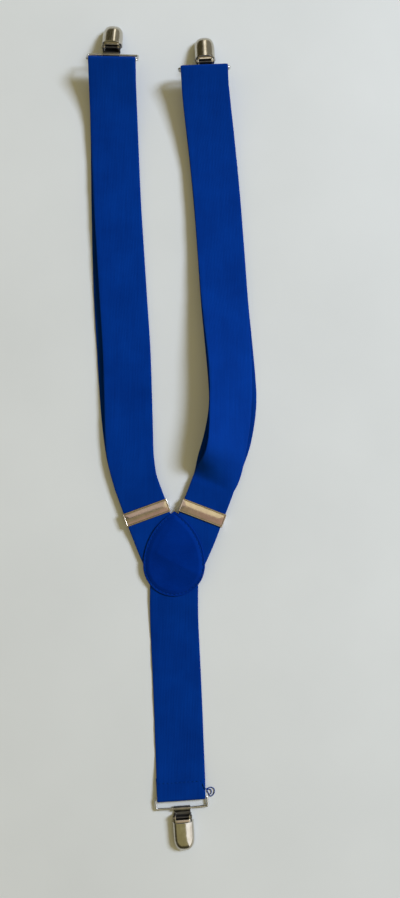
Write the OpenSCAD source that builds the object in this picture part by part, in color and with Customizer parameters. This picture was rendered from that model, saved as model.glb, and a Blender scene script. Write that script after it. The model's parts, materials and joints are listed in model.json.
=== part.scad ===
// Y-back clip suspenders, laid flat as they rest on a table.
// Millimetres, +Z up. The origin is the middle of the back yoke's underside.
// The front straps run towards +Y, the rear strap towards -Y.

/* [Webbing] */
// Width of the elastic webbing
web_w = 35; // [34.6:0.1:36]
// Thickness of the elastic webbing
web_t = 1.2; // [1:0.05:1.25]
// Width that the webbing is drawn in to where it passes a slide
web_slide_w = 32; // [31:0.5:32.5]
// Length of the stitched hem at a strap's end
hem_l = 14; // [12:1:16]

/* [Yoke] */
// Radius of the round lower end of the teardrop patch
yoke_r = 22.4; // [21:0.2:24]
// Height of the patch's point above the centre of its round end
yoke_point = 39; // [37:1:41]
// Thickness of the patch at the back
back_t = 1; // [0.8:0.1:1]
// Height of the front patch above the floor
crown_z = 6.6; // [6.4:0.1:7.2]

/* [Slides] */
// Height of a slide's front plate, along the strap
slide_h = 10; // [9:0.5:11]
// Sheet thickness of a slide
slide_t = 0.7; // [0.6:0.1:0.9]

/* [Clips] */
// Radius of the steel wire of a clip's loop
wire_r = 0.8; // [0.7:0.05:0.8]
// Distance between the loop's strap bar and its clip bar
loop_h = 7.5; // [7:0.5:9]
// Width of a clip's lid
lid_w = 15; // [14.8:0.2:16]
// Distance from the clip's eye to the far end of its lid
clip_l = 29; // [28.5:0.5:31]
// Height of the closed lid above the base's underside
lid_h = 7; // [6.8:0.2:7.8]
// Sheet thickness of the base and the lid
sheet_t = 0.8; // [0.7:0.05:0.85]

/* [Hidden] */
$fn = 48;

LEFT = 0;
RIGHT = 1;
REAR = 2;

web_blue = [0.02, 0.13, 0.45];
patch_blue = [0.01, 0.10, 0.38];
thread_blue = [0.03, 0.18, 0.55];
nickel = [0.72, 0.70, 0.64];
steel = [0.55, 0.55, 0.55];

clear = 0.15;                             // gap left between webbing and the metal it wraps or passes
floor_z = web_t / 2;                      // mid-height of webbing that lies on the floor
fold_r = wire_r + clear + web_t / 2;      // mid-line radius of webbing wrapped round a loop's bar
fold_w = web_w - 0.4;                     // width of the webbing in the fold

// Slide: the heights of its layers above the floor, from the hem's lower layer up
bar_t = 1;                                // thickness of the slide's flat bar
bar_h = 5;                                // its width along the strap
bar_z = web_t + 0.1 + bar_t / 2;
tail_z = bar_z + bar_t / 2 + 0.1 + web_t / 2;
run_z = tail_z + web_t + clear;           // mid-height of the strap as it passes the slide
plate_z = run_z + web_t / 2 + clear;      // underside of the slide's front plate
slide_in = web_slide_w + 0.6;             // clear width inside the slide
slide_out = slide_in + 2 * slide_t;
plate_t = 0.9;
rim_w = 1.6;                              // width of the raised rim round the plate's panel
panel_deep = 0.25;
slide_travel = 18;                        // length of the straight stretch that a slide can move along

// Where each slide sits, and the way its strap runs there, in degrees anticlockwise from +Y
slide_at = [[-20, 32], [20.6, 32]];
slide_turn = [20, -21];

// Where each loop's strap bar is, which way the clip points, the strap's rise towards the bar
// and how far the clip's eye is below the bar
bar_at = [[-45.7, 363.3, 17], [21.9, 357.3, 16.8], [5.4, -171.4, wire_r + clear + web_t]];
clip_turn = [-1.5, 2.5, 184];
strap_rise = [24, 18, 6];
eye_drop = [4.65, 7.2, 0.45];
clip_slip = [-1.3, 1.1, 0];               // how far the clip is from the middle of its loop's bar

// Clip: places along it (u) and above its base's underside (w), from the axis of its eye
fit = 0.08;                               // radial clearance of a pin or wire in its hole
eye_in = wire_r + fit;
eye_out = eye_in + sheet_t;
eye_w = eye_out;                          // height of the eye's axis
neck_w = 11.8;                            // width of the base between its eye and its ears
ear_out = 6.5;                            // outer face of an ear, from the clip's middle
ear_in = ear_out - sheet_t;
ear_r = 1.7;
base_tip = clip_l - 0.6;
pin_u = 5.6;
pin_w = 3.8;
pin_r = 0.7;
jaw_u = 2.9;                              // the jaw turns here
jaw_t = 0.6;
jaw_w = sheet_t + 0.25 + jaw_t / 2;
knuckle_r = 0.45;                         // the jaw's rolled root
jaw_ratio = 0.09;                         // turn of the jaw for each degree of the lid
lid_open = 100;                           // how far the lid turns
cheek_out = ear_in - 0.15;                // outer face of a cheek of the lid
cheek_in = cheek_out - sheet_t;
cam_r = pin_w - jaw_w - jaw_t / 2 - 0.05; // reach of the lid's cam when the lid is closed
cam_back = 1.4;                           // reach of the cheek away from the cam
saddle_u = 6.8;                           // near end of the lid's saddle, which spans its cheeks
saddle_lap = 0.3;                         // how far the cheeks' tops run into the saddle
rim_u = 8.4;                              // near end of the lid's dome
lid_low = 1.3;                            // lower edge of the dome
nose_u = clip_l - lid_w / 2;              // the dome's round end is centred here
bead_l = 0.7;                             // the bead round the dome's mouth, along the clip
bead_out = 0.3;                           // how far it stands proud

function loop_tilt(i) = asin(eye_drop[i] / loop_h);
function ahead(a) = [-sin(a), cos(a), 0];
function across(a) = [cos(a), sin(a), 0];
function eye_at(i) =
    bar_at[i] + loop_h * cos(loop_tilt(i)) * ahead(clip_turn[i])
    + clip_slip[i] * across(clip_turn[i]) - [0, 0, eye_drop[i]];
// A clip lies with the far end of its base on the floor
function clip_pitch(i) = asin(eye_at(i)[2] / norm([base_tip, eye_w])) - atan(eye_w / base_tip);

// Webbing is a flat band swept along a path. Stations are [x, y, z, bank, width], and a banked
// band has its left edge, seen along the path, raised.
function unit(v) = v / norm(v);
function spline(a, b, c, d, t) =
    0.5 * (2 * b + (c - a) * t + (2 * a - 5 * b + 4 * c - d) * t * t
    + (3 * b - a - 3 * c + d) * t * t * t);
function nth(list, i) = list[max(0, min(len(list) - 1, i))];
function smooth(list, steps) = [
    for (i = [0 : len(list) - 2], k = [0 : steps - 1])
        spline(nth(list, i - 1), list[i], list[i + 1], nth(list, i + 2), k / steps),
    list[len(list) - 1]
];
function spot(s) = [s[0], s[1], s[2]];
function banked_across(list, i) =
    let (d = nth(list, i + 1) - nth(list, i - 1), side = unit([d[1], -d[0], 0]), bank = list[i][3])
    side * cos(bank) - [0, 0, sin(bank)];
function band_path(list) =
    [for (i = [0 : len(list) - 1]) [spot(list[i]), banked_across(list, i), list[i][4]]];
// Half a turn round a bar, from above it to below it, for webbing that rises towards the bar
function fold_path(i) =
    let (forward = ahead(clip_turn[i]), side = across(clip_turn[i]))
    [for (a = [90 : -22.5 : -90])
        let (b = a + strap_rise[i])
        [bar_at[i] + fold_r * (cos(b) * forward + sin(b) * [0, 0, 1]), side, fold_w]];

module band(path) {
    n = len(path);
    rings = [
        for (i = [0 : n - 1])
            let (
                along = unit(nth(path, i + 1)[0] - nth(path, i - 1)[0]),
                side = unit(path[i][1] - along * (path[i][1] * along)),
                up = cross(side, along),
                h = path[i][2] / 2
            )
            for (c = [[-1, -1], [1, -1], [1, 1], [-1, 1]])
                path[i][0] + c[0] * h * side + c[1] * web_t / 2 * up
    ];
    sides = [
        for (i = [0 : n - 2], k = [0 : 3])
            let (a = 4 * i + k, b = 4 * i + (k + 1) % 4)
            each [[a, a + 4, b], [b, a + 4, b + 4]]
    ];
    last = 4 * (n - 1);
    ends = [[0, 1, 2], [0, 2, 3], [last + 3, last + 2, last + 1], [last + 3, last + 1, last]];
    polyhedron(rings, concat(ends, sides));
}

// A station on the straight stretch through a slide, dist along it from the slide's middle
function on_slide(i, dist, z) =
    let (p = slide_at[i] + dist * [-sin(slide_turn[i]), cos(slide_turn[i])])
    [p[0], p[1], z, 0, web_slide_w];
straight = slide_travel + slide_h / 2 + 1;

// Each front strap from the yoke, through its slide, to its clip
outer_run = [
    concat(
        [[-4.2, -3, 3.05, 0, web_w], [-9.7, 8, 3.05, 0, 34], [-14.4, 18.4, 3.15, 0, 33]],
        [for (d = [-6, 6, straight - 4, straight]) on_slide(LEFT, d, run_z)],
        [
            [-31.8, 72, 4.2, 2, 34], [-33.1, 92, 3.8, 4, web_w], [-33.9, 118, 3.5, 5, web_w],
            [-35.2, 152, 3.4, 5, web_w], [-37.7, 189, 3.4, 5, web_w], [-40.2, 226, 3.4, 5, web_w],
            [-42.6, 263, 3.5, 4, web_w], [-44.5, 305, 4.2, 2, web_w], [-45.5, 333, 7.3, 0, web_w],
            [-45.9, 350.6, 13, 0, fold_w]
        ]
    ),
    concat(
        [[4.2, -3, 4.4, 0, web_w], [9.9, 8, 4.4, 0, 34], [14.9, 18.4, 4.4, 0, 33]],
        [for (d = [-6, 6, straight - 4, straight]) on_slide(RIGHT, d, run_z)],
        [
            [34.2, 64.5, 9.5, 22, 33.5], [37.6, 76, 12.8, 33, 34.5], [39.9, 92, 12.8, 32, web_w],
            [41.2, 114, 11.4, 27, web_w], [41.1, 136, 10.8, 25, web_w], [39.4, 158, 9.8, 21, web_w],
            [36.8, 188, 7.8, 14, web_w], [34.2, 225, 6, 9, web_w], [31.6, 262, 5.4, 7, web_w],
            [28.2, 297, 6.2, 4, web_w], [24.5, 328, 10.8, 1, web_w], [22.7, 344, 14.1, 0, fold_w]
        ]
    )
];
// Its return run, from the slide's bar to the clip, lies on the floor under it
return_run = [
    [
        [-32.2, 71, floor_z, 0, 34], [-35.1, 92, floor_z, 0, web_w],
        [-37.6, 118, floor_z, 0, web_w], [-39.9, 152, floor_z, 0, web_w],
        [-42.3, 189, floor_z, 0, web_w],
        [-43.8, 227, floor_z, 0, web_w], [-44.8, 265, floor_z, 0, web_w],
        [-45.5, 305, 1, 0, web_w], [-45.8, 333, 4, 0, web_w], [-45.9, 350.6, 9.6, 0, fold_w]
    ],
    [
        [33.6, 69, floor_z, 0, 34], [38.4, 84, floor_z, 0, web_w], [41.6, 100, floor_z, 0, web_w],
        [42.9, 115, floor_z, 0, web_w], [42.2, 131, floor_z, 0, web_w],
        [39.8, 158, floor_z, 0, web_w], [37, 188, floor_z, 0, web_w],
        [34.4, 225, floor_z, 0, web_w], [31.6, 262, floor_z, 0, web_w],
        [28.2, 297, 2.4, 0, web_w], [24.5, 328, 7.5, 0, web_w], [22.7, 344, 10.8, 0, fold_w]
    ]
];
rear_run = [
    [0, 6, 1.7, 0, web_w], [0, -14, 1.7, 0, web_w], [-0.1, -31, 1.7, 0, web_w],
    [0, -42, 1, 0, web_w], [0.4, -54, floor_z, 0, web_w], [1.4, -74, floor_z, 0, web_w],
    [2.8, -104, floor_z, 0, web_w], [4, -134, floor_z, 0, web_w], [4.5, -146, 1, 0, web_w],
    [4.9, -155, 2, 0, web_w], [5.2, -164, 2.75, 0, web_w]
];

module front_strap(i) {
    color(web_blue) band(concat(band_path(smooth(outer_run[i], 4)), fold_path(i)));
}

module front_return(i) {
    side = across(slide_turn[i]);
    heading = ahead(slide_turn[i]);
    middle = [slide_at[i][0], slide_at[i][1], bar_z];
    lift = tail_z - bar_z;
    tail = [for (d = [hem_l, 4]) [middle + d * heading + [0, 0, lift], side, web_slide_w]];
    hem = [
        for (a = [90 : -22.5 : -90])
            [middle - (bar_h / 2 + cos(a) * lift) * heading + [0, 0, sin(a) * lift], side, web_slide_w]
    ];
    lead = [for (d = [4, straight]) on_slide(i, d, floor_z)];
    out = concat(tail, hem, [for (p = band_path(smooth(concat(lead, return_run[i]), 4))) p]);
    rise = strap_rise[i];
    below = bar_at[i] + fold_r * (sin(rise) * ahead(clip_turn[i]) - cos(rise) * [0, 0, 1]);
    end = below - 0.1 * (cos(rise) * ahead(clip_turn[i]) + sin(rise) * [0, 0, 1]);
    color(web_blue) band(concat(out, [[end, across(clip_turn[i]), fold_w]]));
}

module rear_strap() {
    heading = ahead(clip_turn[REAR]);
    under = bar_at[REAR] - [0, 0, fold_r];
    hem = [for (d = [2, hem_l]) [under - d * heading, across(clip_turn[REAR]), web_w]];
    color(web_blue) band(concat(band_path(smooth(rear_run, 4)), fold_path(REAR), hem));
}

// The patch's outline is a pointed arch on a half circle
yoke_y = -6;
arch_c = (pow(yoke_point, 2) - pow(yoke_r, 2)) / (2 * yoke_r);
module yoke_outline(inset = 0) {
    translate([0, yoke_y]) {
        circle(yoke_r - inset, $fn = 96);
        intersection() {
            translate([-arch_c, 0]) circle(yoke_r + arch_c - inset, $fn = 128);
            translate([arch_c, 0]) circle(yoke_r + arch_c - inset, $fn = 128);
            translate([-yoke_r, 0]) square([2 * yoke_r, yoke_point]);
        }
    }
}

border = 3;                               // width of the patch's lower border, outside its seam
patch_z = 5.15;
seam_z = 6;
module yoke_patch_front() {
    color(patch_blue) {
        translate([0, 0, patch_z]) linear_extrude(seam_z - patch_z) yoke_outline();
        translate([0, 0, seam_z]) linear_extrude(crown_z - seam_z) yoke_outline(border);
    }
}

module yoke_patch_back() {
    color(patch_blue) linear_extrude(back_t) yoke_outline();
}

stitch_l = 2;
stitch_w = 0.5;
stitch_t = 0.25;
module stitch() {
    translate([-stitch_l / 2, -stitch_w / 2, 0]) cube([stitch_l, stitch_w, stitch_t]);
}
module stitch_on_arc(radius, angle) {
    rotate(angle) translate([radius, 0]) rotate(90) stitch();
}

// Stitches run inside the outline, round the lower end and up both sides of the arch
module yoke_stitching() {
    inset = 1.5;
    arch_r = yoke_r + arch_c - inset;
    arch_end = acos(arch_c / arch_r) - 3;
    color(thread_blue) translate([0, yoke_y, seam_z]) {
        for (a = [184 : 8 : 356]) stitch_on_arc(yoke_r - inset, a);
        for (s = [-1, 1], a = [1.5 : 3.9 : arch_end])
            translate([-s * arch_c, 0]) stitch_on_arc(arch_r, s > 0 ? a : 180 - a);
    }
}

// One row across the hem of the rear strap, on the straight stretch before the fold
module rear_hem_stitching() {
    a = rear_run[len(rear_run) - 2];
    b = rear_run[len(rear_run) - 1];
    slope = atan((b[2] - a[2]) / norm([b[0] - a[0], b[1] - a[1]]));
    color(thread_blue)
    translate(spot(a) * 0.4 + spot(b) * 0.6) rotate(clip_turn[REAR]) rotate([slope, 0, 0])
    for (x = [-15 : 3 : 15]) translate([x, 0, web_t / 2 + 0.1]) stitch();
}

module place_slide(i) {
    translate(slide_at[i]) rotate(slide_turn[i]) children();
}

// A front plate with a sunk panel, and two cheeks that hold the ends of the bar
module slide_plate(i) {
    slot_fit = 0.05;
    cheek_z = bar_z - bar_t / 2 - 0.45;
    top = plate_z + plate_t;
    color(nickel) place_slide(i) difference() {
        translate([-slide_out / 2, -slide_h / 2, cheek_z]) cube([slide_out, slide_h, top - cheek_z]);
        translate([-slide_in / 2, -slide_h / 2 - 1, cheek_z - 1])
            cube([slide_in, slide_h + 2, plate_z - cheek_z + 1]);
        translate([-slide_out / 2 + rim_w, -slide_h / 2 + rim_w, top - panel_deep])
            cube([slide_out - 2 * rim_w, slide_h - 2 * rim_w, 1]);
        translate([-slide_out, -bar_h / 2 - slot_fit, bar_z - bar_t / 2 - slot_fit])
            cube([2 * slide_out, bar_h + 2 * slot_fit, bar_t + 2 * slot_fit]);
        for (s = [-1, 1])
            translate([0, s * (slide_h / 2 + 0.5), (cheek_z + run_z) / 2 - 1])
                cube([2 * slide_out, 4, run_z - cheek_z], center = true);
    }
}

module slide_bar(i) {
    color(steel) place_slide(i) translate([-slide_out / 2, -bar_h / 2, bar_z - bar_t / 2])
        cube([slide_out, bar_h, bar_t]);
}

// The clip's parts are drawn with +Y along u and +Z along w, and the eye's axis on X
module place_clip(i) {
    translate(eye_at(i)) rotate(clip_turn[i]) rotate([-clip_pitch(i), 0, 0])
        translate([0, 0, -eye_w]) children();
}

// A rectangle of wire whose ends butt in the middle of the clip bar, inside the eye
loop_corner = 1.2;
loop_w = fold_w + 2 * loop_corner + 0.1;
module wire_loop(i) {
    half = loop_w / 2 - loop_corner;
    butt = 0.05;
    color(steel) translate(bar_at[i]) rotate(clip_turn[i]) rotate([-loop_tilt(i), 0, 0]) {
        rotate([0, 90, 0]) cylinder(h = 2 * half, r = wire_r, center = true);
        for (side = [0, 1]) mirror([side, 0, 0]) {
            translate([loop_w / 2, loop_corner, 0]) rotate([-90, 0, 0])
                cylinder(h = loop_h - 2 * loop_corner, r = wire_r);
            translate([butt, loop_h, 0]) rotate([0, 90, 0]) cylinder(h = half - butt, r = wire_r);
            translate([half, loop_corner, 0]) rotate(-90) wire_corner();
            translate([half, loop_h - loop_corner, 0]) wire_corner();
        }
    }
}
module wire_corner() {
    rotate_extrude(angle = 90) translate([loop_corner, 0]) circle(wire_r);
}

module across_cylinder(u, w, r, half) {
    translate([0, u, w]) rotate([0, 90, 0]) cylinder(h = 2 * half, r = r, center = true);
}

// A plate rolled round the wire at one end, with two ears that carry the lid's pin
module clip_base(i) {
    color(nickel) place_clip(i) difference() {
        union() {
            across_cylinder(0, eye_w, eye_out, neck_w / 2);
            translate([-neck_w / 2, 0, 0]) cube([neck_w, pin_u, sheet_t]);
            translate([-ear_out, pin_u - ear_r, 0])
                cube([2 * ear_out, base_tip - ear_out - pin_u + ear_r, sheet_t]);
            translate([0, base_tip - ear_out, 0]) cylinder(h = sheet_t, r = ear_out);
            for (s = [-1, 1]) {
                translate([s * (ear_out + ear_in) / 2 - sheet_t / 2, pin_u - ear_r, 0])
                    cube([sheet_t, 2 * ear_r, pin_w]);
                translate([s * (ear_out + ear_in) / 2, 0, 0])
                    across_cylinder(pin_u, pin_w, ear_r, sheet_t / 2);
            }
        }
        across_cylinder(0, eye_w, eye_in, neck_w);
        across_cylinder(pin_u, pin_w, pin_r + 0.02, lid_w);
        translate([-neck_w, 0, sheet_t]) cube([2 * neck_w, eye_out, 0.4]);
        for (u = [base_tip - 5 : 1.2 : base_tip - 2.5])
            translate([-4.5, u, sheet_t - 0.2]) cube([9, 0.5, 1]);
    }
}

module clip_pin(i) {
    head_r = 1.1;
    head_t = 0.35;
    color(steel) place_clip(i) {
        across_cylinder(pin_u, pin_w, pin_r, ear_out + 0.05 + head_t);
        for (s = [-1, 1])
            translate([s * (ear_out + 0.05 + head_t / 2), 0, 0])
                across_cylinder(pin_u, pin_w, head_r, head_t / 2);
    }
}

// A spring tongue: level under the lid's cams, then raised, with a toothed lip at its far end
module clip_jaw(i) {
    root = jaw_u - 0.3;
    lip_u = base_tip - 3.4;
    low = jaw_w - jaw_t / 2;
    rise = 1.2;
    half = cheek_in - 0.1;
    side = [
        [root, low], [8.4, low], [11, low + rise], [lip_u - 1.2, low + rise], [lip_u, sheet_t + 0.1],
        [lip_u + jaw_t, sheet_t + 0.1], [lip_u - 0.6, low + rise + jaw_t], [10.8, low + rise + jaw_t],
        [8.2, low + jaw_t], [root, low + jaw_t]
    ];
    color(steel) place_clip(i) difference() {
        union() {
            rotate([90, 0, 90]) linear_extrude(2 * (ear_in - 0.2), center = true) polygon(side);
            across_cylinder(jaw_u, jaw_w, knuckle_r, ear_in - 0.2);
        }
        for (s = [-1, 1]) translate([s * (half + 5), rim_u - 0.1 + 15, 0])
            cube([10, 30, 20], center = true);
        for (x = [-3.75 : 1.5 : 3.75]) translate([x, lip_u + 0.2, sheet_t]) rotate([0, 45, 0])
            cube([0.7, 3, 0.7], center = true);
    }
}

// The dome's cross-section is a flattened arch; half of it runs from the top down to a skirt that
// clip_lid cuts off at the lower edge
skirt = 1;
function dome_half(inset) = concat(
    [for (a = [90 : -6 : 0])
        [(lid_w / 2 - inset) * pow(cos(a), 0.8), lid_low + (lid_h - lid_low - inset) * pow(sin(a), 0.8)]],
    [[lid_w / 2 - inset, lid_low - skirt], [0, lid_low - skirt]]
);
module dome_section(inset) {
    half = dome_half(inset);
    polygon(concat(half, [for (k = [len(half) - 2 : -1 : 1]) [-half[k][0], half[k][1]]]));
}
module dome(near, inset) {
    translate([0, nose_u, 0]) {
        rotate_extrude($fn = 64) polygon(dome_half(inset));
        rotate([90, 0, 0]) linear_extrude(nose_u - near) dome_section(inset);
    }
}

// A cheek is round about the pin, with a cam below that lets the jaw rise as the lid turns
module cheek_side() {
    drop = tan(lid_open * jaw_ratio) * (pin_u - jaw_u) + 0.1;
    cam = [
        for (turn = [-20 : 5 : lid_open + 20])
            let (
                reach = cam_r - drop * max(0, min(1, turn / lid_open)),
                a = -90 - turn
            )
            reach * [cos(a), sin(a)]
    ];
    translate([pin_u, pin_w]) difference() {
        union() {
            polygon(concat([[0, 0]], cam));
            circle(cam_back);
            translate([0, -cam_back]) square([rim_u - pin_u + sheet_t / 2, 2 * cam_back]);
        }
        circle(pin_r + fit);
    }
}

// A hollow dome with a bead round its mouth, a cheek at each side on the pin, and a saddle that
// spans the cheeks above the pin
module clip_lid(i) {
    mouth_h = pin_w + cam_back;
    color(nickel) place_clip(i) {
        difference() {
            union() {
                dome(rim_u, 0);
                translate([0, rim_u + bead_l, 0]) rotate([90, 0, 0])
                    linear_extrude(bead_l) dome_section(-bead_out);
            }
            difference() {
                dome(rim_u + sheet_t, sheet_t);
                translate([-lid_w, 0, -1]) cube([2 * lid_w, rim_u + sheet_t, 20]);
            }
            translate([-cheek_in, 0, -1]) cube([2 * cheek_in, rim_u + 2, mouth_h + 1]);
            translate([-lid_w, 0, lid_low - 2 * skirt]) cube([2 * lid_w, 2 * clip_l, 2 * skirt]);
        }
        for (s = [-1, 1])
            translate([s * (cheek_in + cheek_out) / 2, 0, 0]) rotate([90, 0, 90])
                linear_extrude(sheet_t, center = true) cheek_side();
        translate([-cheek_out, saddle_u, mouth_h - saddle_lap])
            cube([2 * cheek_out, rim_u + sheet_t / 2 - saddle_u, sheet_t]);
    }
}

// A loose thread at the rear strap's edge: two nested loops lying on the floor
thread_r = 0.35;
thread_route = [
    [20.9, -160.9, 3.6], [21.3, -162.3, 3.7], [21.9, -163.6, 3.85], [22.7, -164.5, 4], [23.5, -165, 3.4],
    [24, -165.2, 2], [24.8, -165.2, 0.7], [25.8, -164.9, thread_r], [27, -164.8, thread_r],
    [28.3, -165.4, thread_r], [29.1, -166.8, thread_r], [28.9, -168.6, thread_r],
    [28, -170.1, thread_r], [26.7, -171, thread_r], [25.6, -170.5, thread_r],
    [25.1, -169.3, thread_r], [24.5, -168.3, thread_r], [24, -167.4, thread_r],
    [24.2, -166.5, thread_r], [25, -166.1, thread_r], [26, -166.3, thread_r],
    [26.8, -167, thread_r], [27, -168, thread_r], [26.7, -169, thread_r], [26.2, -169.5, thread_r]
];
module thread_tail() {
    route = smooth(thread_route, 3);
    n = len(route);
    sides = 8;
    rings = [
        for (i = [0 : n - 1])
            let (
                d = unit(nth(route, i + 1) - nth(route, i - 1)),
                side = unit([d[1], -d[0], 0]),
                up = cross(side, d)
            )
            for (k = [0 : sides - 1])
                let (a = 360 * k / sides)
                route[i] + thread_r * (cos(a) * side + sin(a) * up)
    ];
    walls = [
        for (i = [0 : n - 2], k = [0 : sides - 1])
            let (a = sides * i + k, b = sides * i + (k + 1) % sides)
            each [[a, a + sides, b], [b, a + sides, b + sides]]
    ];
    first = [for (k = [0 : sides - 1]) k];
    last = [for (k = [sides - 1 : -1 : 0]) sides * (n - 1) + k];
    color(thread_blue) polyhedron(rings, concat([first], walls, [last]));
}

front_strap(LEFT);  // front_strap_left
front_return(LEFT);  // front_strap_left_return
front_strap(RIGHT);  // front_strap_right
front_return(RIGHT);  // front_strap_right_return
rear_strap();
yoke_patch_front();
yoke_patch_back();
yoke_stitching();
rear_hem_stitching();
slide_plate(LEFT);  // slide_left_plate
slide_bar(LEFT);  // slide_left_bar
slide_plate(RIGHT);  // slide_right_plate
slide_bar(RIGHT);  // slide_right_bar
wire_loop(LEFT);  // clip_left_loop
clip_base(LEFT);  // clip_left_base
clip_jaw(LEFT);  // clip_left_jaw
clip_lid(LEFT);  // clip_left_lid
clip_pin(LEFT);  // clip_left_pin
wire_loop(RIGHT);  // clip_right_loop
clip_base(RIGHT);  // clip_right_base
clip_jaw(RIGHT);  // clip_right_jaw
clip_lid(RIGHT);  // clip_right_lid
clip_pin(RIGHT);  // clip_right_pin
wire_loop(REAR);  // clip_rear_loop
clip_base(REAR);  // clip_rear_base
clip_jaw(REAR);  // clip_rear_jaw
clip_lid(REAR);  // clip_rear_lid
clip_pin(REAR);  // clip_rear_pin
thread_tail();
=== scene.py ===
"""Y-back clip suspenders lying on a pale floor: webbing, leather yoke, slides and lever clips.

Shapes are worked out in millimetres in the object's own frame and turned into metres when a mesh is made.
"""
import json
import math

import bmesh
import bpy
import numpy as np
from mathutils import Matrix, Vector


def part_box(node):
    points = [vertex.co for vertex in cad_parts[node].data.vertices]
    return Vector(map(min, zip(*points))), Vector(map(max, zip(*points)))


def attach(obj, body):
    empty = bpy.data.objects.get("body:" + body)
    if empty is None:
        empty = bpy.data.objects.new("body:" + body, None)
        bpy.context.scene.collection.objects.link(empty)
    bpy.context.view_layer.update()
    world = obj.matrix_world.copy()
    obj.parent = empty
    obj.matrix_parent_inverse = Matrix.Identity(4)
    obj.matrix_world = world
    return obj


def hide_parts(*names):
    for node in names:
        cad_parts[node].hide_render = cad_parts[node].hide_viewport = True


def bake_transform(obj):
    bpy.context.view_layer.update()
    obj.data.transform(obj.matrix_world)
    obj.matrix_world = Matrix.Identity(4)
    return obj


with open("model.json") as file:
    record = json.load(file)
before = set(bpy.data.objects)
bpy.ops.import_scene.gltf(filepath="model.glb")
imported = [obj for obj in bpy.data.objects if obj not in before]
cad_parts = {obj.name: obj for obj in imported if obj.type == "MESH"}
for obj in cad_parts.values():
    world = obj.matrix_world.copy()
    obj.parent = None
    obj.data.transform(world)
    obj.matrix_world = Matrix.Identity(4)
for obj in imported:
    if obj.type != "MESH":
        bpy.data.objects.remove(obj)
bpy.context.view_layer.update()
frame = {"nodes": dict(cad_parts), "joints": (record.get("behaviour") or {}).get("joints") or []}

MM = 0.001
UP = np.array([0.0, 0.0, 1.0])
SIDES = ("left", "right")
CLIPS = ("left", "right", "rear")
JOINTS = {joint["name"]: joint for joint in frame["joints"]}


# ---------------------------------------------------------------- vectors and meshes


def unit(vector):
    vector = np.asarray(vector, float)
    return vector / np.linalg.norm(vector)


def joint_axis(name):
    """The joint's own axis, as a unit vector."""
    return unit(JOINTS[name]["axis"])


def joint_place(name):
    """The joint's place in millimetres."""
    return np.array(JOINTS[name]["pos_m"]) / MM


def node_middle(name):
    low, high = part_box(name)
    return np.array((low + high) / 2) / MM


def smooth_curve(stations, spacing):
    """Rows along a Catmull-Rom curve through the stations, about spacing apart."""
    rows = np.asarray(stations, float)
    padded = np.vstack([rows[:1], rows, rows[-1:]])
    pieces = []
    for i in range(len(rows) - 1):
        a, b, c, d = padded[i : i + 4]
        count = max(2, round(float(np.linalg.norm((c - b)[:3])) / spacing))
        t = (np.arange(count) / count)[:, None]
        pieces.append(
            0.5 * (2 * b + (c - a) * t + (2 * a - 5 * b + 4 * c - d) * t**2)
            + 0.5 * (3 * b - a - 3 * c + d) * t**3
        )
    return np.vstack(pieces + [rows[-1:]])


def quads_between(ring_count, ring_size, closed):
    """Faces that join successive rings of points."""
    ring = np.arange(ring_count - 1)[:, None]
    k = np.arange(ring_size if closed else ring_size - 1)[None, :]
    a = ring * ring_size + k
    b = ring * ring_size + (k + 1) % ring_size
    return np.stack([a, b, b + ring_size, a + ring_size], -1).reshape(-1, 4)


def new_piece(name, points, faces, sharp_deg=None):
    """A smooth-shaded mesh object from points in millimetres."""
    mesh = bpy.data.meshes.new(name)
    mesh.from_pydata((np.asarray(points, float) * MM).tolist(), [], [list(map(int, f)) for f in faces])
    mesh.update()
    work = bmesh.new()
    work.from_mesh(mesh)
    bmesh.ops.recalc_face_normals(work, faces=work.faces)
    work.to_mesh(mesh)
    work.free()
    mesh.polygons.foreach_set("use_smooth", [True] * len(mesh.polygons))
    if sharp_deg is not None:
        mesh.set_sharp_from_angle(angle=math.radians(sharp_deg))
    piece = bpy.data.objects.new(name, mesh)
    bpy.context.scene.collection.objects.link(piece)
    return piece


def weave_uv(piece, across, along):
    """A UV layer named weave, from a value across and a value along for each vertex."""
    layer = piece.data.uv_layers.new(name="weave")
    corner_vertex = np.zeros(len(piece.data.loops), int)
    piece.data.loops.foreach_get("vertex_index", corner_vertex)
    uv = np.stack([np.asarray(across)[corner_vertex], np.asarray(along)[corner_vertex]], -1)
    layer.data.foreach_set("uv", uv.astype(np.float32).ravel())


def soften_edges(piece, width, angle_deg=35):
    """Rounds the sharp edges by a bevel of a width in millimetres."""
    bevel = piece.modifiers.new("softened_edges", "BEVEL")
    bevel.width = width * MM
    bevel.segments = 2
    bevel.limit_method = "ANGLE"
    bevel.angle_limit = math.radians(angle_deg)


def finish_piece(piece, material, body, slot, *nodes):
    """Gives a piece its material and the body it rides on, and hides the CAD nodes it stands for. The slot is
    not used.
    """
    piece.data.materials.append(material)
    if body:
        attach(piece, body)
    if nodes:
        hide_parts(*nodes)
    return piece


# ---------------------------------------------------------------- materials


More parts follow.
